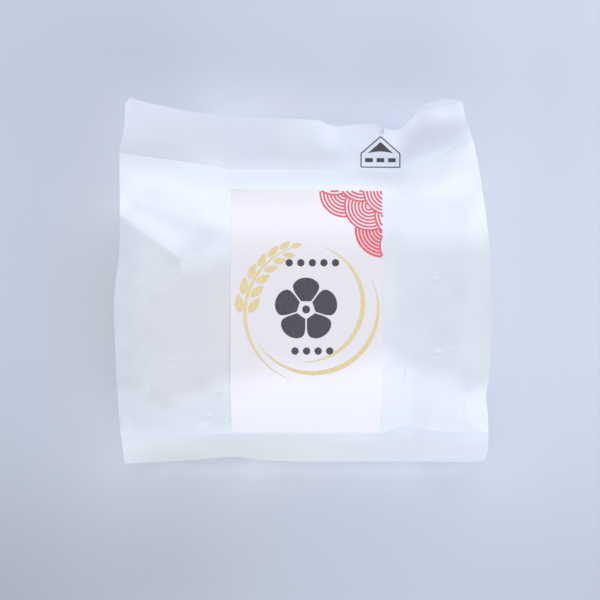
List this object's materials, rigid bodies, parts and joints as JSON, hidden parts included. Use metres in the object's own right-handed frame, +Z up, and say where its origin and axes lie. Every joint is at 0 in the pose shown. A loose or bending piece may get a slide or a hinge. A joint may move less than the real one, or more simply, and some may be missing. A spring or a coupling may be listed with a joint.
{
  "type": "wrapped rice ball",
  "caption": "Rice ball in a shut white film pack with side gussets, flat end seals and a printed paper label, lying on its back.",
  "frame": {"origin": "under the middle of the whole pack, on the surface that it rests on", "axes": "+Z up through the labelled front, +Y towards the notched end seal, +X across to the pack's right side"},
  "size_m": [0.0984, 0.096, 0.0316],
  "materials": {
    "film": "frosted white film, soft satin",
    "paper": "smooth white label paper with red, gold and dark grey print"
  },
  "bodies": {
    "root": {"pack": "film", "label": "paper"}
  },
  "joints": []
}
